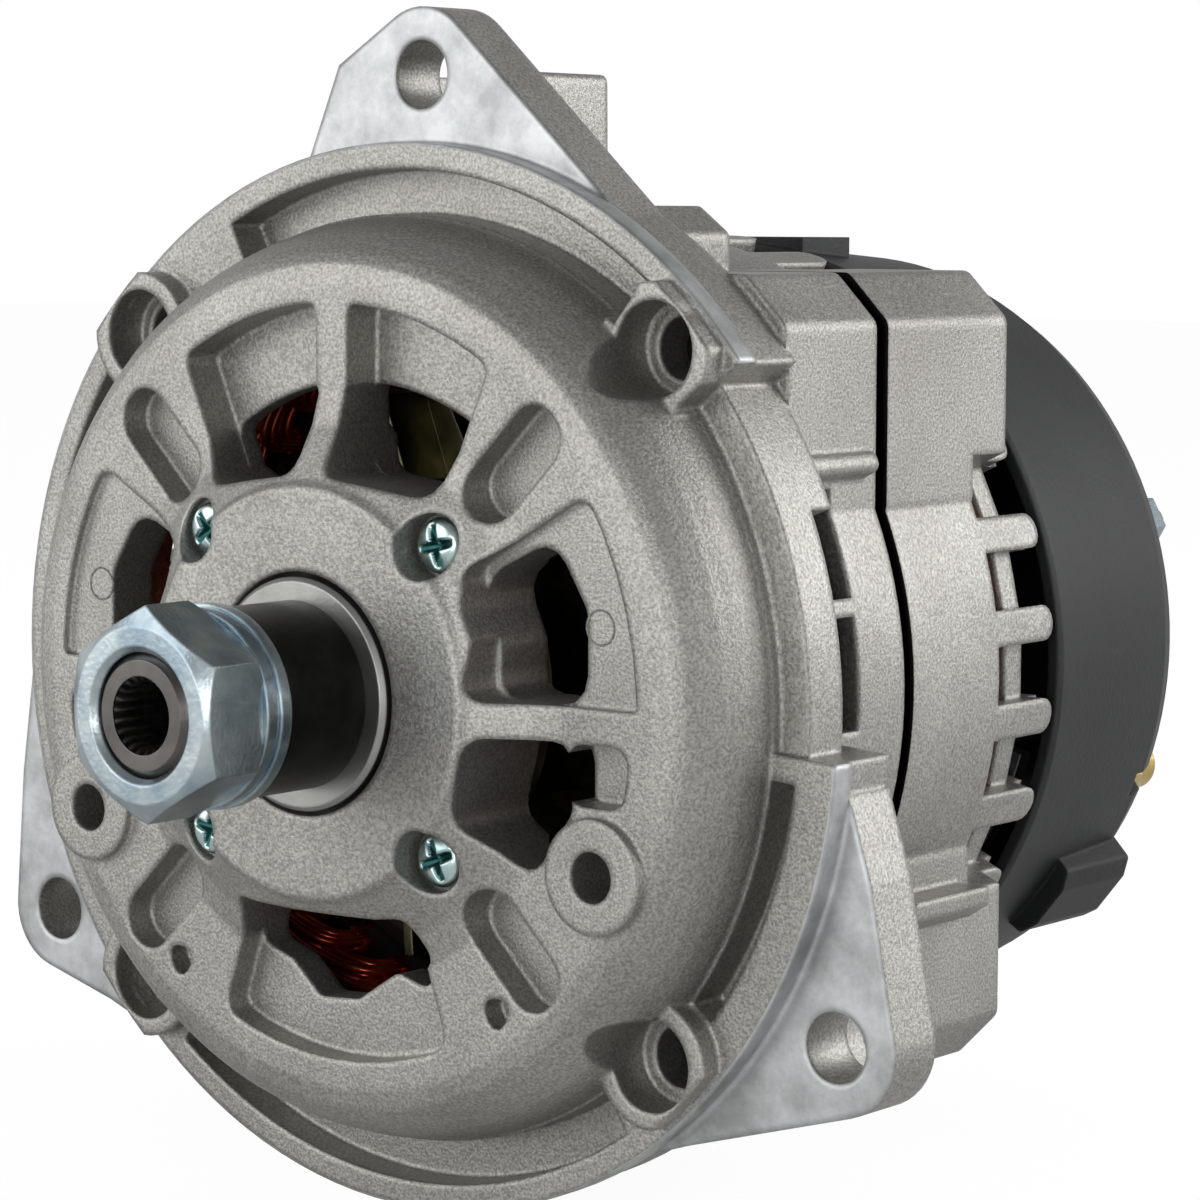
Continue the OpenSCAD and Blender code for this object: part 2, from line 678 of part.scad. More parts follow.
// Rotor: shaft and the stack on its drive end
shaft_profile = [
    [0, shaft_end_z], [thread_r - 1, shaft_end_z], [thread_r - 0.02, shaft_end_z - 1],
    [thread_r - 0.02, nut_z - 0.2], [front_bearing_bore_r, nut_z - 0.7],
    [front_bearing_bore_r, hub_inner_z], [shaft_core_r, hub_inner_z], [shaft_core_r, pole_rear_z - 3.5],
    [shoulder_r, pole_rear_z - 4.5], [shoulder_r, end_wall_z], [rear_bearing_bore_r, end_wall_z],
    [rear_bearing_bore_r, slip_hub_end_z + 0.5], [slip_seat_r, slip_hub_end_z],
    [slip_seat_r, slip_hub_z - 0.5], [0, slip_hub_z - 0.5]
];
module rotor_shaft() color("gray") upright() {
    difference() {
        rotate_extrude() polygon(shaft_profile);
        translate([0, 0, shaft_end_z - 14]) cylinder(r = socket_r, h = 20);
    }
}

module front_collar() color("silver") upright() {
    rotate_extrude() polygon([
        [front_bearing_bore_r, collar_z], [collar_r, collar_z], [collar_r, sleeve_z - 0.6],
        [collar_r - 0.6, sleeve_z], [front_bearing_bore_r, sleeve_z]]);
}

module spacer_sleeve() color("black") upright() {
    tube(front_bearing_bore_r, sleeve_r, sleeve_z, washer_z);
}

module flat_washer() color("lightsteelblue") upright() {
    tube(front_bearing_bore_r + 0.1, 13.2, washer_z, lock_z);
}

// Spring washer with its cut
module lock_washer() color("lightsteelblue") upright() {
    difference() {
        tube(front_bearing_bore_r + 0.1, 12.8, lock_z, nut_z);
        rotate(200) translate([10, 0, lock_z + lock_t / 2]) rotate([25, 0, 0])
            cube([12, 1.4, 6], center = true);
    }
}

// Hexagon nut, its corners cut to a cone at both faces
module shaft_nut() color("lightsteelblue") upright() {
    corner_r = nut_af / 2 / cos(30);
    difference() {
        intersection() {
            translate([0, 0, nut_z]) rotate(30) cylinder(r = corner_r, h = nut_t, $fn = 6);
            rotate_extrude() polygon([
                [0, nut_z], [nut_af / 2 + 0.4, nut_z], [corner_r + 0.2, nut_z + 1.2],
                [corner_r + 0.2, nut_z + nut_t - 1.5], [nut_af / 2 - 0.8, nut_z + nut_t],
                [0, nut_z + nut_t]]);
        }
        translate([0, 0, nut_z - eps]) cylinder(r = thread_r, h = nut_t + 1);
        translate([0, 0, nut_z + nut_t - 0.8]) cylinder(r1 = thread_r, r2 = thread_r + 1, h = 1);
    }
}

// One pole half, its outer face at z = 0 and its claws pointing to -z
claw_profile = [
    [pole_core_r - 2, 0], [rotor_r - 3.6, 0], [rotor_r, -3], [rotor_r, -pole_len + 1.5],
    [rotor_r - 3.8, -pole_len + 1.5], [coil_r + 0.6, -pole_disc_t], [pole_core_r - 2, -pole_disc_t]
];
module claw_pole() {
    root_w = 10.4;
    tip_w = 4.2;
    difference() {
        union() {
            translate([0, 0, -pole_disc_t]) cylinder(r = pole_core_r + 5, h = pole_disc_t);
            translate([0, 0, -pole_len / 2]) cylinder(r = pole_core_r, h = pole_len / 2);
            intersection() {
                rotate_extrude() polygon(claw_profile);
                for (i = [0:claws - 1]) rotate([0, 90, i * 360 / claws]) translate([0, 0, pole_core_r - 3])
                    linear_extrude(rotor_r - pole_core_r + 6) polygon([
                        [-1, root_w], [7, root_w], [pole_len + 1, tip_w], [pole_len + 1, -tip_w],
                        [7, -root_w], [-1, -root_w]]);
            }
        }
        translate([0, 0, -pole_len]) cylinder(r = shaft_core_r, h = 2 * pole_len);
    }
}

module front_claw_pole() color("dimgray") upright() translate([0, 0, pole_front_z]) claw_pole();
module rear_claw_pole() color("dimgray") upright()
    translate([0, 0, pole_rear_z]) mirror([0, 0, 1]) rotate(180 / claws) claw_pole();

bobbin_z = (pole_front_z + pole_rear_z) / 2;
bobbin_half = pole_len / 2 - pole_disc_t - 0.1;
module coil_bobbin() color("darkolivegreen") upright() translate([0, 0, bobbin_z]) {
    tube(pole_core_r + 0.1, pole_core_r + 1.4, -bobbin_half, bobbin_half);
    for (z = [-bobbin_half, bobbin_half - 1.2]) tube(pole_core_r + 0.1, coil_r, z, z + 1.2);
}

module rotor_coil() color("peru") upright() translate([0, 0, bobbin_z])
    tube(pole_core_r + 1.4, coil_r - 0.8, -bobbin_half + 1.2, bobbin_half - 1.2);

// Pressed fan: a plate and its bent-up blades, standing from z = 0
module fan(blade_h, blade_lean) {
    hub = 14;
    rim = rotor_r - 4.6;
    root = rim - 12.5;
    slab(0, fan_t) difference() {
        circle(r = root + 3);
        circle(r = hub);
    }
    for (i = [0:fan_blades - 1]) rotate(i * 360 / fan_blades) {
        slab(0, fan_t) polygon([[root, -6], [rim, -1.5], [rim, 3.5], [root, 6]]);
        translate([root, 0, 0]) rotate(blade_lean) translate([0, -fan_t / 2, 0])
            cube([rim - root, fan_t, blade_h]);
    }
}

module front_fan() color("slategray") upright() translate([0, 0, pole_front_z]) fan(front_blade_h, 12);
module rear_fan() color("slategray") upright()
    translate([0, 0, pole_rear_z]) mirror([0, 0, 1]) fan(rear_blade_h, 12);

module slip_ring_hub() color("black") upright() difference() {
    union() {
        translate([0, 0, slip_hub_z]) cylinder(r = slip_hub_r, h = slip_hub_end_z - slip_hub_z);
        tube(slip_hub_r - eps, slip_ring_r, slip_outer_z + slip_ring_w, slip_inner_z);
    }
    translate([0, 0, slip_hub_z - eps]) cylinder(r = slip_seat_r, h = slip_hub_end_z - slip_hub_z + 1);
}
module slip_ring_inner() color("peru") upright()
    tube(slip_hub_r, slip_ring_r, slip_inner_z, slip_inner_z + slip_ring_w);
module slip_ring_outer() color("peru") upright()
    tube(slip_hub_r, slip_ring_r, slip_outer_z, slip_outer_z + slip_ring_w);

// Brush gear: a brush slides along y in its channel
module brush(z_ring) {
    z_mid = z_ring + slip_ring_w / 2;
    difference() {
        translate([-brush_x / 2, 6, z_mid - brush_z / 2]) cube([brush_x, brush_len + 2.6, brush_z]);
        translate([0, 0, z_mid]) cylinder(r = slip_ring_r + brush_gap, h = 20, center = true);
    }
}
module inner_brush() color("dimgray") upright() brush(slip_inner_z);
module outer_brush() color("dimgray") upright() brush(slip_outer_z);

// Compression spring between a brush and the top of its channel
brush_top = brush_len + 8.6;
module brush_spring(z_ring) {
    turns = 6;
    pitch = (holder_top - 2 - brush_top - 2 * spring_wire_r) / (turns - 1);
    translate([0, 0, z_ring + slip_ring_w / 2]) rotate([-90, 0, 0])
        for (i = [0:turns - 1]) translate([0, 0, brush_top + spring_wire_r + i * pitch])
            rotate_extrude() translate([spring_coil_r, 0]) circle(r = spring_wire_r);
    translate([spring_coil_r, brush_top + spring_wire_r, z_ring + slip_ring_w / 2])
        rotate([-90, 0, 0]) cylinder(r = spring_wire_r * 0.8, h = holder_top - 2 - brush_top - 2 * spring_wire_r);
}
module inner_brush_spring() color("gainsboro") upright() brush_spring(slip_inner_z);
module outer_brush_spring() color("gainsboro") upright() brush_spring(slip_outer_z);

holder_front_z = slip_inner_z + slip_ring_w + 1.5;
holder_rear_z = slip_hub_z;
module brush_holder() color("black") upright() difference() {
    union() {
        translate([-6, 11, holder_rear_z]) cube([12, holder_top - 11, holder_front_z - holder_rear_z]);
        translate([-20, 30, holder_front_z - 4]) cube([40, holder_top - 30, 4]);
    }
    for (z = [slip_inner_z, slip_outer_z])
        translate([-brush_x / 2 - brush_side_gap, 10, z + (slip_ring_w - brush_z) / 2 - brush_side_gap])
            cube([brush_x + 2 * brush_side_gap, holder_top - 12, brush_z + 2 * brush_side_gap]);
    for (s = [-1, 1]) translate([s * holder_screw_place[0], holder_screw_place[1], holder_front_z - 8])
        cylinder(r = 2.2, h = 20);
}

// Regulator, with the plug shell that looks out of the cover
regulator_top = cover_room_r - 2.8;
plug_h = 11;
plug_wall = 1.6;
module regulator_body() color("black") upright() difference() {
    union() {
        slab(holder_rear_z, holder_front_z) polygon(rounded([
            [-21, holder_top], [21, holder_top], [21, regulator_top - 3.5], [14, regulator_top],
            [-14, regulator_top], [-21, regulator_top - 3.5]], 2));
        translate([-12, holder_top, cover_back_z - 14])
            cube([24, plug_h, 14 + holder_rear_z - cover_back_z + eps]);
    }
    translate([-10.4, holder_top + plug_wall, cover_back_z - 15]) cube([20.8, plug_h - 2 * plug_wall - 0.2, 13]);
}
module connector_pins() color("gold") upright()
    for (x = [-6, 0, 6]) translate([x - 0.4, holder_top + 2.4, cover_back_z - 8]) cube([0.8, 1.6, 6]);

module regulator_screws() color("lightsteelblue") upright()
    for (s = [-1, 1]) translate([s * holder_screw_place[0], holder_screw_place[1], holder_front_z - 4]) {
        translate([0, 0, -2.4]) cylinder(r = 3.6, h = 2.4);
        translate([0, 0, -1]) cylinder(r = 2, h = 13);
    }

// Rectifier: two heat sinks that stand one behind the other below the slip rings
sink_t = 2.5;
negative_z = foot_z - sink_t;
positive_z = negative_z - 8.5;
board_z = positive_z - 10;
board_t = 3;
lead_r = 1.4;
diode_r = 6.35;
diode_circle = 38.5;
sink_r = cover_room_r - 1.8;
negative_diode_angles = [215, 250, 290];
positive_diode_angles = [232, 270, 308];
module rectifier_negative_plate() color("silver") upright() difference() {
    ring_sector(30, sink_r, 196, 344, negative_z, foot_z);
    at_angles(diode_circle, negative_diode_angles, negative_z - 5) cylinder(r = diode_r, h = 20);
    at_angles(lead_circle, lead_angles, negative_z - 5) cylinder(r = lead_r + 1, h = 20);
    at_angles(cover_stud_circle, [270], negative_z - 5) cylinder(r = 2.6, h = 20);
}
module rectifier_positive_plate() color("silver") upright() difference() {
    ring_sector(28, sink_r - 1.5, 197, 344, positive_z, positive_z + sink_t);
    at_angles(diode_circle, positive_diode_angles, positive_z - 5) cylinder(r = diode_r, h = 20);
    at_angles(diode_circle, negative_diode_angles, positive_z - 5) cylinder(r = 2.2, h = 20);
    at_angles(lead_circle, lead_angles, positive_z - 5) cylinder(r = lead_r + 1, h = 20);
    at_angles(cover_stud_circle, [270], positive_z - 5) cylinder(r = 3.2, h = 20);
    translate(concat(stud_place, positive_z - 5)) cylinder(r = stud_core_r + 0.02, h = 20);
}
module rectifier_spacers() color("black") upright()
    at_angles(foot_circle, rear_foot_angles, positive_z + sink_t)
        cylinder(r = 2.6, h = negative_z - positive_z - sink_t);
module diode(z) {
    translate([0, 0, z - 3.5]) cylinder(r = diode_r, h = 7);
    translate([0, 0, board_z]) cylinder(r = 0.8, h = z - 3 - board_z);
}
module negative_diodes() color("gray") upright()
    at_angles(diode_circle, negative_diode_angles, 0) diode(negative_z);
module positive_diodes() color("gray") upright()
    at_angles(diode_circle, positive_diode_angles, 0) diode(positive_z + 0.5);
module rectifier_terminal_board() color("black") upright() difference() {
    union() {
        ring_sector(34, sink_r - 1.7, 205, 314, board_z - board_t, board_z);
        at_angles(diode_circle + 6.5, [218, 251, 291], board_z - 0.5)
            cylinder(r = 1.8, h = positive_z - board_z + 0.5);
    }
    at_angles(lead_circle, lead_angles, board_z - 8) cylinder(r = lead_r + 0.05, h = 10);
    at_angles(cover_stud_circle, [270], board_z - 8) cylinder(r = 3, h = 20);
}

// Output stud through the cover, its head on the positive heat sink. The free end has the full
// thread radius, and the stretch inside the nut and the insulator has the core radius.
stud_place = polar(diode_circle + 3.5, 328);
stud_free_len = 9.5;
stud_core_r = stud_r - 0.35;
stud_nut_h = 6.5;
stud_nut_z = cover_back_z - 4 - stud_nut_h;
stud_end_z = stud_nut_z - stud_free_len;
module output_stud() color("gold") upright() translate(stud_place) {
    translate([0, 0, positive_z + sink_t]) cylinder(r = 6, h = 3);
    translate([0, 0, stud_nut_z]) cylinder(r = stud_core_r, h = positive_z + sink_t + 0.1 - stud_nut_z);
    translate([0, 0, stud_end_z]) cylinder(r = stud_r, h = stud_free_len);
}
module output_insulator() color("black") upright() translate(stud_place)
    tube(stud_core_r, 7.5, cover_back_z - 4, positive_z);
module output_nut() color("gold") upright() translate(stud_place) difference() {
    translate([0, 0, stud_nut_z]) cylinder(r = 7.5, h = stud_nut_h, $fn = 6);
    translate([0, 0, stud_nut_z - eps]) cylinder(r = stud_core_r, h = stud_nut_h + 1);
}

// Rear cover: a moulded cup with air slots in its back
module rear_cover() color([0.18, 0.18, 0.19]) upright() {
    back_r = cover_r - cover_taper;
    difference() {
        union() {
            rotate_extrude() polygon([
                [cover_r - cover_wall, cover_front_z], [cover_r - 0.4, cover_front_z], [cover_r, cover_front_z - 1],
                [back_r, cover_back_z + 6], [back_r - 1.3, cover_back_z + 2.5], [back_r - 4.3, cover_back_z],
                [0, cover_back_z], [0, cover_back_z + cover_wall], [back_r - 5.3, cover_back_z + cover_wall],
                [back_r - 2.9, cover_back_z + 4.5], [cover_room_r, cover_back_z + 7]]);
            // Clip for the loom at the lower right
            rotate(-39) slab(cover_back_z + 5, cover_back_z + 22) polygon(rounded([
                [back_r - 1.5, -7], [cover_r + 0.8, -6.4], [cover_r + 2, -3.6], [cover_r + 2, 3.6],
                [cover_r + 0.8, 6.4], [back_r - 1.5, 7]], 0.8));
            // Flat guide at the top
            slab(cover_front_z - 14, cover_front_z - 2) polygon([
                [-18, back_r - 4], [12, back_r - 1.5], [12, cover_r + 0.8], [-18, cover_r + 0.8]]);
            // Bosses over the studs
            for (a = cover_stud_angles) translate(concat(polar(cover_stud_circle, a), cover_back_z))
                tube(2.8, 5, 0, 8);
        }
        for (a = cover_stud_angles) translate(concat(polar(cover_stud_circle, a), cover_back_z - 1))
            cylinder(r = 2.8, h = 12);
        translate(concat(stud_place, cover_back_z - 1)) cylinder(r = 7.7, h = 6);
        translate([-12.3, holder_top - 0.3, cover_back_z - 1]) cube([24.6, plug_h + 0.6, 6]);
        // Notch in the back edge
        ring_sector(back_r - 5, 70, -24, -20, cover_back_z - 1, cover_back_z + 8);
        // Air slots of the back
        for (k = [-4:4]) translate([k * 6.5 - 1.6, -26, cover_back_z - 1]) cube([3.2, 52 - 2 * abs(k) * 4, 6]);
    }
}

module cover_studs() color("lightsteelblue") upright()
    for (a = cover_stud_angles) translate(concat(polar(cover_stud_circle, a), cover_back_z - 7))
        cylinder(r = 2.49, h = cover_depth + 7 + end_wall_z - 2.5);
module cover_nuts() color("lightsteelblue") upright()
    for (a = cover_stud_angles) translate(concat(polar(cover_stud_circle, a), cover_back_z - 4)) difference() {
        cylinder(r = 4.6, h = 4, $fn = 6);
        translate([0, 0, -1]) cylinder(r = 2.5, h = 6);
    }

front_housing();
bearing_retainer_plate();
retainer_screws();
front_bearing_outer_race();
front_bearing_inner_race();
front_bearing_balls();
front_bearing_cage();
front_bearing_seals();
rotor_shaft();
front_collar();
spacer_sleeve();
flat_washer();
lock_washer();
shaft_nut();
front_claw_pole();
rear_claw_pole();
rotor_coil();
coil_bobbin();
front_fan();
rear_fan();
slip_ring_hub();
slip_ring_inner();
slip_ring_outer();
rear_bearing_outer_race();
rear_bearing_inner_race();
rear_bearing_balls();
rear_bearing_cage();
rear_bearing_seals();
rear_bearing_sleeve();
stator_core();
stator_winding();
phase_leads();
rear_housing();
case_screws();
rectifier_negative_plate();
rectifier_positive_plate();
rectifier_spacers();
negative_diodes();
positive_diodes();
rectifier_terminal_board();
output_stud();
output_nut();
output_insulator();
brush_holder();
inner_brush();
outer_brush();
inner_brush_spring();
outer_brush_spring();
regulator_body();
regulator_screws();
connector_pins();
rear_cover();
cover_studs();
cover_nuts();
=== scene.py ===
import math

import bpy
import numpy as np
from mathutils import Matrix, Vector


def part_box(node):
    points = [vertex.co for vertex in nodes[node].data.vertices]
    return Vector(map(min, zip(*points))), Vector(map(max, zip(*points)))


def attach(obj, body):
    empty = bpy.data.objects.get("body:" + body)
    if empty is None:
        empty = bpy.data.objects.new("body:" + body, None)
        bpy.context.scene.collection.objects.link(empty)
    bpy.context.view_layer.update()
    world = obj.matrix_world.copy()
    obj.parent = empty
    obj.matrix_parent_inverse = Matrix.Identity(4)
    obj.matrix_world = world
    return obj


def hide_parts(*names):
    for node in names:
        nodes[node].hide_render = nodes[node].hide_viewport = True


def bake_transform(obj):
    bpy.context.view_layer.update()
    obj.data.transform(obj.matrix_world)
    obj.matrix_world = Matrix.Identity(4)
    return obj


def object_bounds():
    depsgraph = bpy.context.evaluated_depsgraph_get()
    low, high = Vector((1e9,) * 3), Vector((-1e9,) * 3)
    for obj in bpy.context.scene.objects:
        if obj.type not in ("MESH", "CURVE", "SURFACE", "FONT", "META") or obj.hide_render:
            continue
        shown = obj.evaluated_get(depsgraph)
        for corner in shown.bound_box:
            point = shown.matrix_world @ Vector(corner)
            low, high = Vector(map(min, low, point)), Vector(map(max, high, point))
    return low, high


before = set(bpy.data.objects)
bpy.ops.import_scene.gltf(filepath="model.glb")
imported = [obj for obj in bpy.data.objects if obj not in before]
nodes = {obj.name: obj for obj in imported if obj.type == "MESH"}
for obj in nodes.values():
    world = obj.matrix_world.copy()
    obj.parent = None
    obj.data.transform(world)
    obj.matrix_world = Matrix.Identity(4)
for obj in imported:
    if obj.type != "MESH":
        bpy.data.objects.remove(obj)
cad_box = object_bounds()

# Camera: a pinhole fitted to the photograph's rim, ear holes, screws, nut and rear edge.
# It stands 0.52 m from the middle of the ear plane, to the right of the drive end and just above the shaft.
azimuth, elevation, roll = math.radians(38.754), math.radians(5.701), math.radians(0.189)
camera_place = (0.34305, -0.38791, 0.06232)
right = np.array([math.cos(azimuth), math.sin(azimuth), 0])
back = np.array([
    math.sin(azimuth) * math.cos(elevation),
    -math.cos(azimuth) * math.cos(elevation),
    math.sin(elevation),
])
up = np.cross(back, right)
turned_right = math.cos(roll) * right + math.sin(roll) * up
turned_up = -math.sin(roll) * right + math.cos(roll) * up
camera = bpy.data.objects.new("camera", bpy.data.cameras.new("camera"))
bpy.context.scene.collection.objects.link(camera)
camera.data.sensor_width = 36
camera.data.lens = 115.414
camera.data.clip_start = 0.01
pose = Matrix.Identity(4)
for column, vector in enumerate((turned_right, turned_up, back, camera_place)):
    for row in range(3):
        pose[row][column] = vector[row]
camera.matrix_world = pose
bpy.context.scene.camera = camera


# Drive-end and rear housing: die-cast aluminium, shot-blasted after casting, so it is grainy and satin.
# The ear faces and the outside of the pilot rim are turned bright on a lathe afterwards.
def linear(hex_colour):
    """sRGB hex to linear RGBA: a channel up to 0.04045 is divided by 12.92. A brighter one has 0.055 added,
    is divided by 1.055 and goes through the 2.4 power."""
    values = [int(hex_colour[i:i + 2], 16) / 255 for i in (1, 3, 5)]
    return (*[v / 12.92 if v <= 0.04045 else ((v + 0.055) / 1.055) ** 2.4 for v in values], 1)


def add(tree, kind, inputs=None, **settings):
    """Adds a node: settings are its properties, inputs are its sockets, each a value or a socket to link."""
    made = tree.nodes.new(kind)
    for key, value in settings.items():
        setattr(made, key, value)
    for key, value in (inputs or {}).items():
        if isinstance(value, bpy.types.NodeSocket):
            tree.links.new(value, made.inputs[key])
        else:
            made.inputs[key].default_value = value
    return made


def new_material(name, **sockets):
    """A material with a Principled shader whose sockets are given by name, and its Object coordinates."""
    made = bpy.data.materials.new(name)
    made.use_nodes = True
    tree = made.node_tree
    shader = tree.nodes["Principled BSDF"]
    for key, value in sockets.items():
        shader.inputs[key.replace("_", " ")].default_value = value
    place = add(tree, "ShaderNodeTexCoord").outputs["Object"]
    return made, tree, shader, place


def dress(material, *names):
    """Puts a material on CAD nodes."""
    for name in names:
        data = nodes[name].data
        data.materials.clear()
        data.materials.append(material)


def cast_aluminium(name, gap_shade_span):
    """Satin grey with a blasted grain of 0.4 mm, faint stains and soft edges. A face is turned where it lies
    in the ear plane or outside the rim's radius, and painted near-black as painted shade within the span
    along Y."""
    made, tree, shader, place = new_material(name, Metallic=0.9)
    stain = add(tree, "ShaderNodeTexNoise", {"Vector": place, "Scale": 38, "Detail": 5, "Roughness": 0.65})
    tint = add(tree, "ShaderNodeValToRGB", {"Fac": stain.outputs["Fac"]})
    tint.color_ramp.elements[0].position = 0.3
    tint.color_ramp.elements[0].color = linear("#A19F9A")
    tint.color_ramp.elements[1].position = 0.72
    tint.color_ramp.elements[1].color = linear("#B7B6B1")
    grain = add(tree, "ShaderNodeTexNoise", {"Vector": place, "Scale": 2400, "Detail": 2, "Roughness": 0.6})
    speck = add(tree, "ShaderNodeValToRGB", {"Fac": grain.outputs["Fac"]})
    speck.color_ramp.elements[0].position = 0.34
    speck.color_ramp.elements[0].color = linear("#C5C5C5")
    speck.color_ramp.elements[1].position = 0.66
    speck.color_ramp.elements[1].color = linear("#FFFFFF")
    blasted = add(tree, "ShaderNodeMix", {
        0: 1.0, 6: tint.outputs["Color"], 7: speck.outputs["Color"],
    }, data_type="RGBA", blend_type="MULTIPLY")
    # Turned faces of the ears: in their plane, and looking forward
    plane_reach, forward_look = 0.00012, -0.9
    axes = add(tree, "ShaderNodeSeparateXYZ", {"Vector": place})
    height = add(tree, "ShaderNodeMath", {0: axes.outputs["Y"]}, operation="ABSOLUTE")
    ear_plane = add(tree, "ShaderNodeMath", {0: height.outputs[0], 1: plane_reach}, operation="LESS_THAN")
    facing = add(tree, "ShaderNodeSeparateXYZ", {"Vector": place.node.outputs["Normal"]})
    level = add(tree, "ShaderNodeMath", {0: facing.outputs["Y"], 1: forward_look}, operation="LESS_THAN")
    ear_face = add(
        tree, "ShaderNodeMath", {0: ear_plane.outputs[0], 1: level.outputs[0]}, operation="MULTIPLY")
    # Turned face of the pilot rim: past the radius of the casting behind it, and in front of the ear plane
    rim_from, rim_end = 0.0717, 0.0001
    flat_place = add(tree, "ShaderNodeCombineXYZ", {"X": axes.outputs["X"], "Z": axes.outputs["Z"]})
    radius = add(tree, "ShaderNodeVectorMath", {0: flat_place.outputs[0]}, operation="LENGTH")
    outside = add(tree, "ShaderNodeMath", {0: radius.outputs["Value"], 1: rim_from}, operation="GREATER_THAN")
    forward = add(tree, "ShaderNodeMath", {0: axes.outputs["Y"], 1: rim_end}, operation="LESS_THAN")
    pilot = add(tree, "ShaderNodeMath", {0: outside.outputs[0], 1: forward.outputs[0]}, operation="MULTIPLY")
    turned = add(tree, "ShaderNodeMath", {0: ear_face.outputs[0], 1: pilot.outputs[0]}, operation="MAXIMUM")
    # Turned aluminium is smooth and bright, with soft stains of 8 mm from handling
    handled = add(tree, "ShaderNodeTexNoise", {"Vector": place, "Scale": 120, "Detail": 6, "Roughness": 0.7})
    smudge = add(tree, "ShaderNodeValToRGB", {"Fac": handled.outputs["Fac"]})
    smudge.color_ramp.elements[0].position = 0.36
    smudge.color_ramp.elements[0].color = linear("#9B9D9D")
    smudge.color_ramp.elements[1].position = 0.62
    smudge.color_ramp.elements[1].color = linear("#BFC1C2")
    bright = add(tree, "ShaderNodeMix", {
        0: turned.outputs[0], 6: blasted.outputs[2], 7: smudge.outputs["Color"],
    }, data_type="RGBA")
    # Painted shade: the faces on both sides of the parting gap are coloured near-black to stand for the shade
    # in the gap
    past_start = add(
        tree, "ShaderNodeMath", {0: axes.outputs["Y"], 1: gap_shade_span[0]}, operation="GREATER_THAN")
    before_end = add(
        tree, "ShaderNodeMath", {0: axes.outputs["Y"], 1: gap_shade_span[1]}, operation="LESS_THAN")
    gap_shaded = add(
        tree, "ShaderNodeMath", {0: past_start.outputs[0], 1: before_end.outputs[0]}, operation="MULTIPLY")
    finish = add(tree, "ShaderNodeMix", {
        0: gap_shaded.outputs[0], 6: bright.outputs[2], 7: linear("#080706"),
    }, data_type="RGBA")
    tree.links.new(finish.outputs[2], shader.inputs["Base Color"])
    rough = add(tree, "ShaderNodeMapRange", {"Value": turned.outputs[0], "To Min": 0.48, "To Max": 0.46})
    tree.links.new(rough.outputs["Result"], shader.inputs["Roughness"])
    edge = add(tree, "ShaderNodeBevel", {"Radius": 0.0013}, samples=8)
    depth = add(tree, "ShaderNodeMapRange", {"Value": turned.outputs[0], "To Min": 1.0, "To Max": 0.06})
    bump = add(tree, "ShaderNodeBump", {
        "Height": grain.outputs["Fac"], "Strength": depth.outputs["Result"],
        "Distance": 0.00008, "Normal": edge.outputs["Normal"],
    })
    tree.links.new(bump.outputs["Normal"], shader.inputs["Normal"])
    return made


# The painted shade of the parting gap reaches 0.1 mm past each housing's end
gap_shade_reach = 0.0001
parting = (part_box("front_housing")[1][1] - gap_shade_reach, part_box("rear_housing")[0][1] + gap_shade_reach)
housing_metal = cast_aluminium("die_cast_aluminium", parting)
dress(housing_metal, "front_housing", "rear_housing")


# Bearing retainer: a pressed steel plate behind the front bearing.
# Four pan-head screws of zinc-plated steel, passivated blue and with a cross recess, hold it from outside.
def mottled(name, low, high, clouds, grain, depth, edge_radius, **sockets):
    """A finish whose colour goes from low to high as noise with so many clouds per metre does. Its bump has
    so much grain per metre and is depth metres high, and its edges look rounded by edge_radius."""
    made, tree, shader, place = new_material(name, **sockets)
    cloud = add(tree, "ShaderNodeTexNoise", {"Vector": place, "Scale": clouds, "Detail": 3, "Roughness": 0.6})
    tint = add(tree, "ShaderNodeValToRGB", {"Fac": cloud.outputs["Fac"]})
    tint.color_ramp.elements[0].position = 0.33
    tint.color_ramp.elements[0].color = linear(low)
    tint.color_ramp.elements[1].position = 0.68
    tint.color_ramp.elements[1].color = linear(high)
    tree.links.new(tint.outputs["Color"], shader.inputs["Base Color"])
    fine = add(tree, "ShaderNodeTexNoise", {"Vector": place, "Scale": grain, "Detail": 2, "Roughness": 0.5})
    edge = add(tree, "ShaderNodeBevel", {"Radius": edge_radius}, samples=4)
    bump = add(tree, "ShaderNodeBump", {
        "Height": fine.outputs["Fac"], "Strength": 1.0, "Distance": depth, "Normal": edge.outputs["Normal"],
    })
    tree.links.new(bump.outputs["Normal"], shader.inputs["Normal"])
    return made


def build(name, points, faces, material, body, smooth=True):
    """A piece from its points and faces. It rides on a body, unless that is None."""
    mesh = bpy.data.meshes.new(name)
    mesh.from_pydata(np.asarray(points).reshape(-1, 3).tolist(), [], faces)
    mesh.validate()
    if smooth:
        mesh.shade_smooth()
    else:
        mesh.shade_flat()
    mesh.materials.append(material)
    piece = bpy.data.objects.new(name, mesh)
    bpy.context.scene.collection.objects.link(piece)
    if body:
        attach(piece, body)
    return piece


def turned_faces(rows, columns, copies=1, ends="capped"):
    """Quads over rows rings of columns points each, for several copies one after the other: a point, the one
    after it and the same two of the next ring. The end rings are capped, joined together, or left open."""
    strips = rows if ends == "joined" else rows - 1
    row, column = np.meshgrid(np.arange(strips), np.arange(columns), indexing="ij")
    after, next_row = (column + 1) % columns, (row + 1) % rows
    quads = np.stack([
        row * columns + column, row * columns + after,
        next_row * columns + after, next_row * columns + column,
    ], -1).reshape(-1, 4)
    shift = np.arange(copies)[:, None, None] * rows * columns
    faces = (quads[None] + shift).reshape(-1, 4).tolist()
    if ends == "capped":
        first = shift[:, 0] + np.arange(columns)
        faces += first[:, ::-1].tolist() + (first + (rows - 1) * columns).tolist()
    return faces


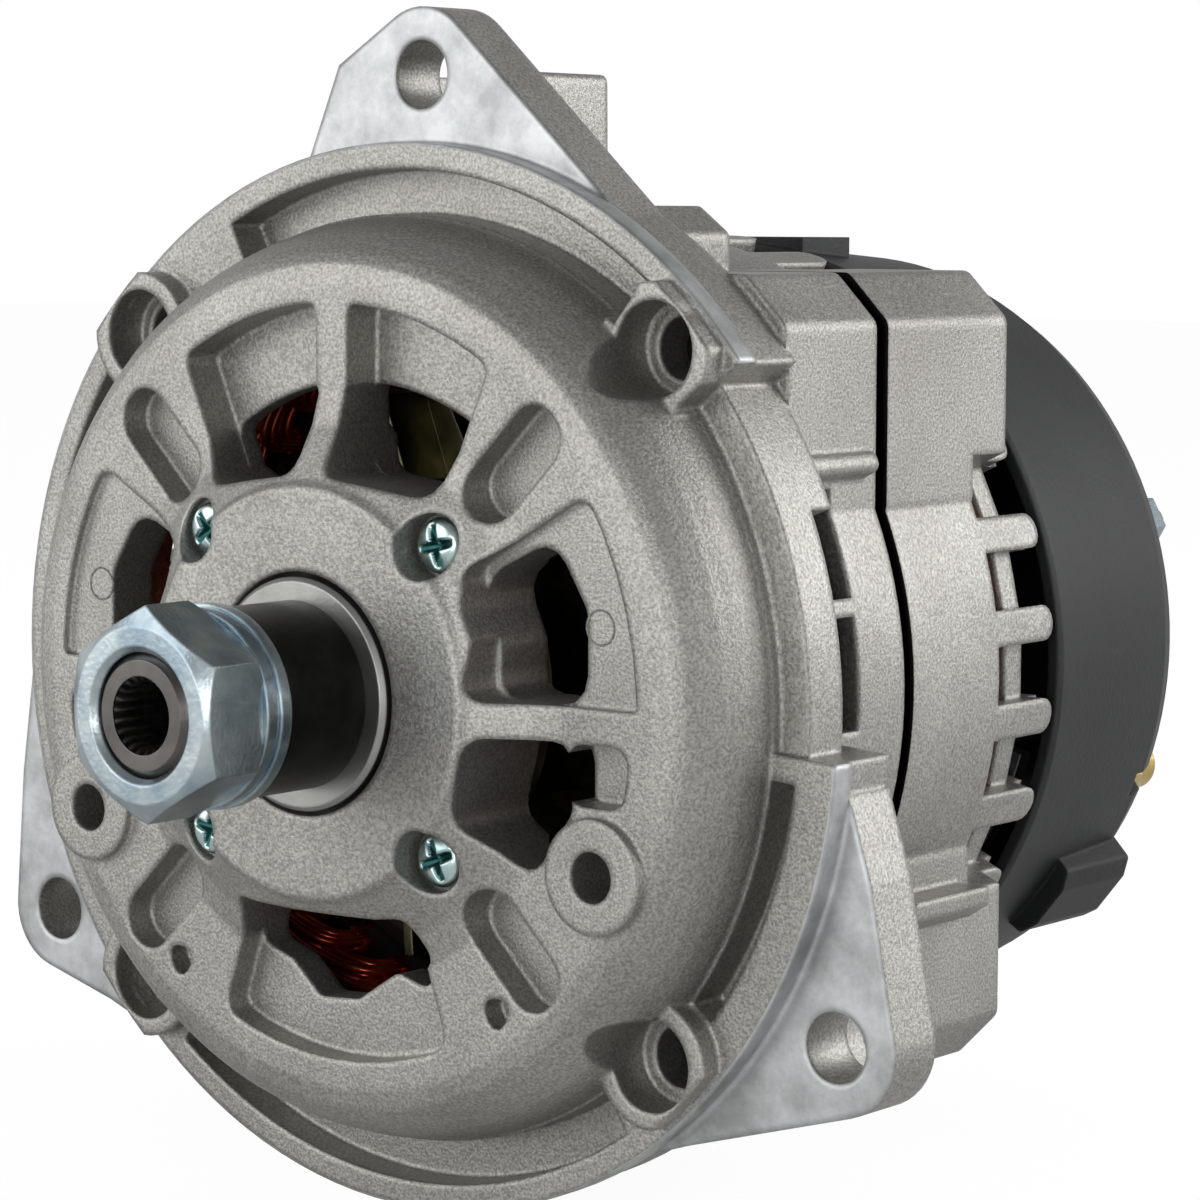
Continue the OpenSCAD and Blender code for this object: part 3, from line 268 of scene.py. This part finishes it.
def standing(local):
    """Millimetres to the standing frame in metres: x stays, z along the shaft towards the drive end becomes
    minus Y, and y becomes Z."""
    return np.stack([local[..., 0], -local[..., 2], local[..., 1]], -1) * 0.001


# Pressed sheet is a plain soft grey, and blue-passivated zinc has a clear shine with a faint blue in it
plate_steel = mottled(
    "pressed_sheet_steel", "#8C8E8F", "#A9ABAC", 70, 900, 0.00002, 0.0002, Metallic=1.0, Roughness=0.36)
dress(plate_steel, "bearing_retainer_plate")
blue_zinc = mottled(
    "blue_zinc_screw", "#9FB8B9", "#C6D6D4", 400, 2500, 0.00001, 0.0001, Metallic=1.0, Roughness=0.27)
# Radius and height over the hub's face, from the middle of the head round its edge to the end of the shank
head_profile = np.array(
    [[0.001, 2.35], [0.3, 2.35], [0.6, 2.34], [0.9, 2.33], [1.2, 2.31], [1.5, 2.28], [1.8, 2.25], [2.1, 2.2],
     [2.4, 2.13], [2.7, 2.03], [3.0, 1.88], [3.25, 1.66], [3.45, 1.38], [3.6, 1.05], [3.68, 0.7], [3.7, 0.25],
     [3.7, 0.0], [2.05, 0.0], [2.0, -0.2], [2.0, -13.4], [1.7, -13.5], [0.001, -13.5]])
hub_face, screw_circle_r = 17.5, 28.7
turn = np.linspace(0, 2 * np.pi, 96, endpoint=False)
radii, heights = head_profile[:, 0, None], head_profile[:, 1, None]
ring_x, ring_y = radii * np.cos(turn), radii * np.sin(turn)
# The recess: four arms at 90 degrees, about 1 mm wide, deepest in the middle and run out at 2.9 mm
recess_depth, recess_fade, arm_half, flank_steepness, head_from = 1.5, 2.5, 0.5, 14, 1.9
arm = np.minimum(np.abs(ring_x), np.abs(ring_y))
in_arm = 1 / (1 + np.exp((arm - arm_half) * flank_steepness))
run_out = np.clip(1.15 - radii / recess_fade, 0, 1) ** 0.6
sunk = np.where(heights > head_from, recess_depth * in_arm * run_out, 0)
heads = []
for angle, twist in ((45, 12), (135, 40), (225, 75), (315, 22)):
    lean = math.radians(twist)
    x = ring_x * math.cos(lean) - ring_y * math.sin(lean) + screw_circle_r * math.cos(math.radians(angle))
    y = ring_x * math.sin(lean) + ring_y * math.cos(lean) + screw_circle_r * math.sin(math.radians(angle))
    heads.append(np.stack([x, y, hub_face + heights - sunk], -1))
pan_heads = build(
    "cross_recess_screws", standing(np.array(heads)), turned_faces(len(head_profile), len(turn), len(heads)),
    blue_zinc, "housing")
# Painted shade: the faces at the bottom of the recess get a dark green-blue, duller zinc that stands for the
# shade in the recess
recess_shade_zinc = mottled(
    "blue_zinc_recess_shade", "#1F4A4A", "#3F7370", 400, 2500, 0.00001, 0.0001, Metallic=1.0, Roughness=0.45)
pan_heads.data.materials.append(recess_shade_zinc)
# Faces sunk deeper than this, in millimetres, get the painted shade
shade_from_depth = 0.4
depths = np.tile(sunk, (len(heads), 1, 1)).ravel()
for face in pan_heads.data.polygons:
    face.material_index = int(depths[list(face.vertices)].mean() > shade_from_depth)
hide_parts("retainer_screws")


# Ejector marks: the pins that push the casting out of its die leave a thin raised ring on each side recess.
# They are of the same die-cast aluminium and 4.4 mm across.
mark_r, bead_half, recess_face = 2.2, 0.16, 15.8
bead_turn, ring_turn = np.meshgrid(
    np.linspace(0, 2 * np.pi, 8, endpoint=False),
    np.linspace(0, 2 * np.pi, 48, endpoint=False), indexing="ij")
bead_r = mark_r + bead_half * np.cos(bead_turn)
bead_height = recess_face + bead_half * np.sin(bead_turn)
mark_rings = [
    np.stack([x + bead_r * np.cos(ring_turn), y + bead_r * np.sin(ring_turn), bead_height], -1)
    for x, y in ((44.5, 11.2), (-44.5, 11.2))
]
build(
    "ejector_marks", standing(np.array(mark_rings)),
    turned_faces(*bead_turn.shape, len(mark_rings), "joined"), housing_metal, "housing")


# Ball bearings: ground and hardened steel rings, polished balls, moulded glass-filled cages, rubber seals.
# The rear one sits in a moulded sleeve that lets it creep as the housing grows warm.
# Ground steel is the brightest finish of the machine, and the seals are a soft black that hardly shines.
ring_steel = mottled(
    "ground_bearing_steel", "#B4B6B8", "#C9CBCC", 120, 3000, 0.000006, 0.00015, Metallic=1.0, Roughness=0.2)
dress(ring_steel, "front_bearing_outer_race", "front_bearing_inner_race", "front_bearing_balls",
      "rear_bearing_outer_race", "rear_bearing_inner_race", "rear_bearing_balls")
cage_nylon = mottled(
    "glass_filled_nylon", "#8E7650", "#A58C63", 300, 1800, 0.00003, 0.00015, Roughness=0.5)
dress(cage_nylon, "front_bearing_cage", "rear_bearing_cage")
seal_rubber = mottled(
    "nitrile_rubber", "#151515", "#202020", 200, 1500, 0.00003, 0.0001, Roughness=0.6)
dress(seal_rubber, "front_bearing_seals", "rear_bearing_seals")
sleeve_nylon = mottled(
    "natural_nylon", "#C9C3AC", "#DAD5C2", 150, 1200, 0.00003, 0.0002, Roughness=0.45)
dress(sleeve_nylon, "rear_bearing_sleeve")


# Shaft: ground steel under oil, dark with long highlights.
# The splined socket in its end is for the key that holds it while the nut is turned. It is broached and dark.
shaft_steel = mottled(
    "oiled_ground_steel", "#4B4846", "#6F6C69", 90, 2600, 0.00001, 0.0002, Metallic=1.0, Roughness=0.3)
dress(shaft_steel, "rotor_shaft")
socket_steel = mottled(
    "broached_dark_steel", "#2B2A29", "#494745", 400, 2200, 0.00003, 0.0001, Metallic=0.9, Roughness=0.42)
teeth, points_per_tooth, flank = 22, 8, 1.6
mouth_r, mean_depth, half_depth = 4.98, 0.38, 0.34
wave_turn = np.linspace(0, 2 * np.pi, teeth * points_per_tooth, endpoint=False)
tooth = np.clip(np.sin(wave_turn * teeth) * flank, -1, 1)
shaft_end = -1000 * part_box("rotor_shaft")[0][1]
# Four rings lie at these heights. The splines are full at the two in the middle, after a chamfered mouth.
spline_depth = np.array([shaft_end - 0.25, shaft_end - 0.9, shaft_end - 12.0, shaft_end - 13.6])
spline_share = np.array([0.0, 1.0, 1.0, 0.6])
spline_r = mouth_r - spline_share[:, None] * (mean_depth - half_depth * tooth[None])
splines = np.stack([
    spline_r * np.cos(wave_turn), spline_r * np.sin(wave_turn),
    np.broadcast_to(spline_depth[:, None], spline_r.shape),
], -1)
# The wall is seen from inside, so its faces are turned round
build(
    "splined_socket", standing(splines),
    [face[::-1] for face in turned_faces(len(spline_depth), len(wave_turn), ends="open")],
    socket_steel, "rotor")


# Shaft end stack: a turned steel collar, a black-oxide spacer sleeve, a flat and a spring washer, and a nut.
# Turned steel is a plain warm grey, and black oxide is nearly black with the highlights of bare steel.
# Washers and nut are bright zinc over steel, which shows a faint blue and straw film.
collar_steel = mottled(
    "turned_steel", "#8D8D8A", "#A3A3A0", 80, 1800, 0.00002, 0.0004, Metallic=1.0, Roughness=0.34)
dress(collar_steel, "front_collar")
black_oxide = mottled(
    "black_oxide_steel", "#1A1A1A", "#2A2A2A", 130, 1600, 0.00002, 0.0004, Metallic=1.0, Roughness=0.36)
dress(black_oxide, "spacer_sleeve", "case_screws")
bright_zinc = mottled(
    "bright_zinc_steel", "#84949F", "#B2BCBE", 160, 1500, 0.00003, 0.0005, Metallic=1.0, Roughness=0.24)
dress(bright_zinc, "shaft_nut", "flat_washer", "lock_washer", "cover_studs", "cover_nuts", "regulator_screws")


# Rotor: two forged claw-pole halves, brown-black from forging and dull.
# Between them a bobbin of green nylon carries the field coil of enamelled copper.
# Sheet fans are welded on both ends, and their yellow zinc is a mottled olive gold.
forged = mottled(
    "forged_pole_steel", "#332E2A", "#564F48", 60, 700, 0.0001, 0.0004, Metallic=0.8, Roughness=0.5)
dress(forged, "front_claw_pole", "rear_claw_pole")
bobbin_nylon = mottled(
    "bobbin_nylon", "#3E4430", "#50573F", 150, 900, 0.00003, 0.0003, Roughness=0.5)
dress(bobbin_nylon, "coil_bobbin")
fan_steel = mottled(
    "yellow_zinc_sheet", "#4E4B3A", "#8D886A", 90, 900, 0.00003, 0.0003, Metallic=1.0, Roughness=0.28)
dress(fan_steel, "front_fan", "rear_fan")
coil_copper, tree, shader, place = new_material(
    "enamelled_copper_coil", Metallic=0.9, Roughness=0.3, Base_Color=linear("#8A4524"), Coat_Weight=0.4)
# A ridge stands for two turns of 0.9 mm wire. A wave node of scale 1 goes through 20 radians in a metre.
ridge_pitch = 0.0017765
turns = add(tree, "ShaderNodeTexWave", {"Vector": place, "Scale": 2 * math.pi / 20 / ridge_pitch},
            wave_type="BANDS", bands_direction="Y", wave_profile="SIN")
ridge = add(tree, "ShaderNodeBump", {"Height": turns.outputs["Fac"], "Strength": 1.0, "Distance": 0.0003})
tree.links.new(ridge.outputs["Normal"], shader.inputs["Normal"])
dress(coil_copper, "rotor_coil")


# Stator core: a stack of 0.5 mm electrical steel sheets, varnished almost black.
# The sheet edges show round the outside and in the bore, drawn as a fine line for every four sheets.
stack, tree, shader, place = new_material("varnished_lamination", Metallic=0.5, Roughness=0.45)
sheets = add(tree, "ShaderNodeTexWave", {"Vector": place, "Scale": 160, "Distortion": 0.3},
             wave_type="BANDS", bands_direction="Y", wave_profile="SIN")
shade = add(tree, "ShaderNodeValToRGB", {"Fac": sheets.outputs["Fac"]})
shade.color_ramp.elements[0].color = linear("#121110")
shade.color_ramp.elements[1].color = linear("#3C3936")
tree.links.new(shade.outputs["Color"], shader.inputs["Base Color"])
lines = add(tree, "ShaderNodeBump", {"Height": sheets.outputs["Fac"], "Strength": 0.8, "Distance": 0.0001})
tree.links.new(lines.outputs["Normal"], shader.inputs["Normal"])
dress(stack, "stator_core")


# Stator winding: copper wire of 1.2 mm, eight to a coil side, under red enamel that glows orange in light.
# Each coil side leaves its slot near the outside, leans over three slots and goes back in nearer the bore.
def tubes(paths, radius, sides):
    """Round tubes along paths (count, steps, 3): a ring is the path's point plus radius times the cosine of
    the outward direction square to the path and the sine of the direction square to both."""
    tangent = np.gradient(paths, axis=1)
    tangent /= np.linalg.norm(tangent, axis=-1, keepdims=True)
    outward = paths * np.array([1, 1, 0])
    outward /= np.linalg.norm(outward, axis=-1, keepdims=True)
    outward -= (outward * tangent).sum(-1, keepdims=True) * tangent
    outward /= np.linalg.norm(outward, axis=-1, keepdims=True)
    across = np.cross(tangent, outward)
    around = np.linspace(0, 2 * np.pi, sides, endpoint=False)
    ring = np.cos(around)[:, None] * outward[:, :, None] + np.sin(around)[:, None] * across[:, :, None]
    return paths[:, :, None] + radius * ring


wire_r, wire_pitch = 0.62, 1.25
steps, sides, slots, layers, pair = 22, 6, 36, 4, 2
core_low, core_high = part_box("stator_core")
core_r, core_front, core_rear = 1000 * core_high[0], -1000 * core_low[1], -1000 * core_high[1]
inner_r, outer_r = core_r - 11.4, core_r - 3.6
slot_angle = np.radians(np.arange(slots) * 10.0)
# A crown goes from its slot's outer end to the inner end three slots on, and rises and falls on the way
coil_lean, lean_spread = math.radians(30), math.radians(0.9)
start_depth, depth_change, top_height, layer_drop, root_depth = 1.4, 5.0, 8.2, 1.35, 1.2
inner_limit, outer_limit = inner_r + 0.8, outer_r - 0.7
# How far a wire strays from its place as a whole, and how far it sways along its way
stray, sway = 0.16, 0.12
along = np.linspace(0, 1, steps)
lean_share = (1 - np.cos(np.pi * along)) / 2
rise = (1 - np.abs(2 * along - 1) ** 3) ** 0.55
chance = np.random.default_rng(7)
wires = []
for layer in range(layers):
    for column in range(pair):
        wobble = chance.normal(0, stray, (slots, 1)) + chance.normal(0, sway, (slots, 1)) * np.sin(
            2 * np.pi * along + chance.uniform(0, 6, (slots, 1)))
        radius = outer_r - start_depth - depth_change * lean_share + (column - 0.5) * wire_pitch + wobble
        radius = np.clip(radius, inner_limit, outer_limit)
        fan_out = lean_spread * (layer - 1.5) * (1 - 2 * lean_share)
        angle = slot_angle[:, None] + coil_lean * lean_share + fan_out
        height = (top_height - layer_drop * layer + 0.5 * wobble) * rise - root_depth * (1 - rise)
        wires.append(np.stack([radius * np.cos(angle), radius * np.sin(angle), height], -1))
wires = np.concatenate(wires)
front_wires = wires + np.array([0, 0, core_front])
rear_wires = wires * np.array([1, 1, -1]) + np.array([0, 0, core_rear])
enamel, tree, shader, place = new_material(
    "red_enamelled_wire", Metallic=0.75, Roughness=0.27, Coat_Weight=0.6, Coat_Roughness=0.12)
batch = add(tree, "ShaderNodeTexNoise", {"Vector": place, "Scale": 90, "Detail": 2})
reds = add(tree, "ShaderNodeValToRGB", {"Fac": batch.outputs["Fac"]})
reds.color_ramp.elements[0].position = 0.35
reds.color_ramp.elements[0].color = linear("#B02E18")
reds.color_ramp.elements[1].position = 0.65
reds.color_ramp.elements[1].color = linear("#E2633A")
tree.links.new(reds.outputs["Color"], shader.inputs["Base Color"])
crowns = build(
    "end_winding_wires", standing(np.concatenate([
        tubes(front_wires, wire_r, sides).reshape(-1, 3), tubes(rear_wires, wire_r, sides).reshape(-1, 3)])),
    turned_faces(steps, sides, 2 * len(wires)), enamel, "housing")
# Coil sides in the slots: flat bundles in their paper liners, which stand a little out of both ends of a slot
bar_in, bar_out, bar_half, bar_overhang = inner_r + 0.3, outer_r - 0.4, 1.8, 0.6
bar = np.array([[bar_in, -bar_half], [bar_out, -bar_half], [bar_out, bar_half], [bar_in, bar_half]])
bar_ends = (core_front + bar_overhang, core_rear - bar_overhang)
bar_points = np.stack([np.concatenate([bar, np.full((4, 1), z)], 1) for z in bar_ends])
# The same bar is turned round the shaft to each slot
spin = np.stack([
    np.stack([np.cos(slot_angle), -np.sin(slot_angle)], -1),
    np.stack([np.sin(slot_angle), np.cos(slot_angle)], -1),
], 1)
bars = np.concatenate([
    np.einsum("sij,rcj->srci", spin, bar_points[..., :2]),
    np.broadcast_to(bar_points[..., 2:], (slots, 2, 4, 1)),
], -1)
build(
    "slot_coil_sides", standing(bars), turned_faces(2, 4, slots),
    enamel, "housing", smooth=False)
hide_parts("stator_winding")
dress(enamel, "phase_leads")


# Slip rings and brush gear: copper rings on a moulded hub, carbon brushes with springs in a moulded holder.
# The regulator is potted in a case with a plug shell that looks out of the rear cover.
# Turned copper is pink and bright, glass-filled polyester dull black, and pressed carbon dark with a glint.
ring_copper = mottled(
    "slip_ring_copper", "#B06A42", "#C9855A", 200, 2500, 0.00001, 0.0001, Metallic=1.0, Roughness=0.22)
dress(ring_copper, "slip_ring_inner", "slip_ring_outer")
moulded_black = mottled(
    "glass_filled_polyester", "#131314", "#1E1E20", 180, 1600, 0.00004, 0.0003, Roughness=0.46)
dress(moulded_black, "slip_ring_hub", "brush_holder", "regulator_body", "rectifier_terminal_board",
      "rectifier_spacers", "output_insulator")
carbon = mottled(
    "pressed_copper_carbon", "#2C2927", "#3E3935", 700, 3000, 0.00003, 0.0002, Metallic=0.3, Roughness=0.55)
dress(carbon, "inner_brush", "outer_brush")


# Brush springs: compression springs of drawn steel wire, 0.9 mm thick, in six turns, clean and bright.
# Each stands on its brush and ends at the top of its channel, so it shortens as the brush slides up.
def coil_spring(low, high, coils, coil_steps, wire_half, sides):
    """A wire whose centre runs along a helix between two corners of its box: the angle and the height grow
    together. The helix's radius is half the box's width less half the wire's thickness."""
    share = np.linspace(0, 1, coils * coil_steps + 1)
    angle = 2 * np.pi * coils * share
    centre, coil_r = (low + high) / 2, (high[0] - low[0]) / 2 - wire_half
    height = low[2] - centre[2] + wire_half + (high[2] - low[2] - 2 * wire_half) * share
    helix = np.stack([coil_r * np.cos(angle), coil_r * np.sin(angle), height], -1)
    return tubes(helix[None], wire_half, sides) + centre


spring_wire = mottled(
    "drawn_spring_steel", "#8E9093", "#B2B4B7", 500, 3500, 0.00001, 0.0001, Metallic=1.0, Roughness=0.25)
coils, coil_steps, spring_half, spring_sides = 6, 24, 0.45, 8
for name in ("inner_brush", "outer_brush"):
    low, high = np.array(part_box(name + "_spring")) * 1000
    points = coil_spring(low, high, coils, coil_steps, spring_half, spring_sides) * 0.001
    spring = build(
        name + "_coil", points, turned_faces(coils * coil_steps + 1, spring_sides),
        spring_wire, None)
    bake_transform(spring)
    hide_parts(name + "_spring")


# Rectifier: rolled aluminium heat sinks, pale with a soft shine, and diodes in nickel-plated cases.
# The stud, its nut and the plug pins are brass under tin, a pale gold.
sink = mottled(
    "rolled_aluminium", "#B7B9BA", "#CDCECE", 100, 1200, 0.00002, 0.0003, Metallic=1.0, Roughness=0.35)
dress(sink, "rectifier_negative_plate", "rectifier_positive_plate")
nickel = mottled(
    "nickel_plated_case", "#9B9890", "#B5B2AA", 200, 2500, 0.00001, 0.0002, Metallic=1.0, Roughness=0.25)
dress(nickel, "negative_diodes", "positive_diodes")
brass = mottled(
    "tinned_brass", "#B29A58", "#CBB67A", 250, 2200, 0.00002, 0.0002, Metallic=1.0, Roughness=0.28)
dress(brass, "output_stud", "output_nut", "connector_pins")


# Rear cover: injection-moulded glass-filled nylon, charcoal, with a fine spark-eroded texture that dulls it.
# Its front lip runs just behind the housing's fingers.
cover_nylon = mottled(
    "charcoal_moulded_nylon", "#151617", "#1E1F20", 40, 1300, 0.00006, 0.0007,
    Roughness=0.5, Specular_IOR_Level=0.35)
dress(cover_nylon, "rear_cover")


# Floor and light: a pale studio sweep below the rim, and three soft boxes.
# The camera sees the world as white, while metal mirrors one that darkens upwards.
# The floor is almost white too, and keeps the shadow.
floor_height, floor_half = cad_box[0][2], 4
studio = bpy.data.worlds.new("studio")
bpy.context.scene.world = studio
studio.use_nodes = True
sky = studio.node_tree
sky.nodes.clear()
path = add(sky, "ShaderNodeLightPath")
seen = add(sky, "ShaderNodeMath", {
    0: path.outputs["Is Camera Ray"], 1: path.outputs["Is Transmission Ray"],
}, operation="MAXIMUM")
direction = add(sky, "ShaderNodeTexCoord")
parts = add(sky, "ShaderNodeSeparateXYZ", {"Vector": direction.outputs["Generated"]})
dusk = add(sky, "ShaderNodeMapRange", {
    "Value": parts.outputs["Z"], "From Min": 0.15, "From Max": 0.75, "To Min": 0.78, "To Max": 0.3})
strength = add(sky, "ShaderNodeMix", {
    0: seen.outputs[0], 2: dusk.outputs["Result"], 3: 1.0,
}, data_type="FLOAT")
light = add(sky, "ShaderNodeBackground", {"Color": linear("#FFFFFF"), "Strength": strength.outputs[0]})
add(sky, "ShaderNodeOutputWorld", {"Surface": light.outputs["Background"]})

floor_corners = ((-floor_half, -floor_half), (floor_half, -floor_half),
                 (floor_half, floor_half), (-floor_half, floor_half))
floor_mesh = bpy.data.meshes.new("floor")
floor_mesh.from_pydata([(x, y, floor_height) for x, y in floor_corners], [], [(0, 1, 2, 3)])
floor = bpy.data.objects.new("floor", floor_mesh)
bpy.context.scene.collection.objects.link(floor)
paper, tree, shader = new_material("floor_paper", Roughness=0.9, Base_Color=linear("#F4F4F4"))[:3]
rays = add(tree, "ShaderNodeLightPath")
glow = add(tree, "ShaderNodeEmission", {"Color": linear("#FFFFFF"), "Strength": 1.05})
share = add(tree, "ShaderNodeMath", {0: rays.outputs["Is Camera Ray"], 1: 0.9}, operation="MULTIPLY")
blend = add(tree, "ShaderNodeMixShader", {
    "Fac": share.outputs[0], 1: shader.outputs["BSDF"], 2: glow.outputs["Emission"],
})
tree.links.new(blend.outputs["Shader"], tree.nodes["Material Output"].inputs["Surface"])
floor_mesh.materials.append(paper)

# The soft boxes look at the middle of the housings. Each has a place, the length of its side, and watts.
aim = Vector((0, 0.03, 0))
for name, spot, size, power in (
    ("key", (-0.55, -0.75, 0.25), 0.9, 4.8),
    ("side", (0.85, 0.7, 0.45), 0.7, 7.5),
    ("low_front", (0.35, -0.85, -0.02), 0.5, 3.5),
):
    lamp = bpy.data.objects.new(name, bpy.data.lights.new(name, "AREA"))
    bpy.context.scene.collection.objects.link(lamp)
    lamp.data.shape = "SQUARE"
    lamp.data.size = size
    lamp.data.energy = power
    lamp.location = spot
    lamp.rotation_mode = "QUATERNION"
    lamp.rotation_quaternion = (aim - Vector(spot)).to_track_quat("-Z", "Y")

bpy.context.scene.view_settings.view_transform = "Standard"
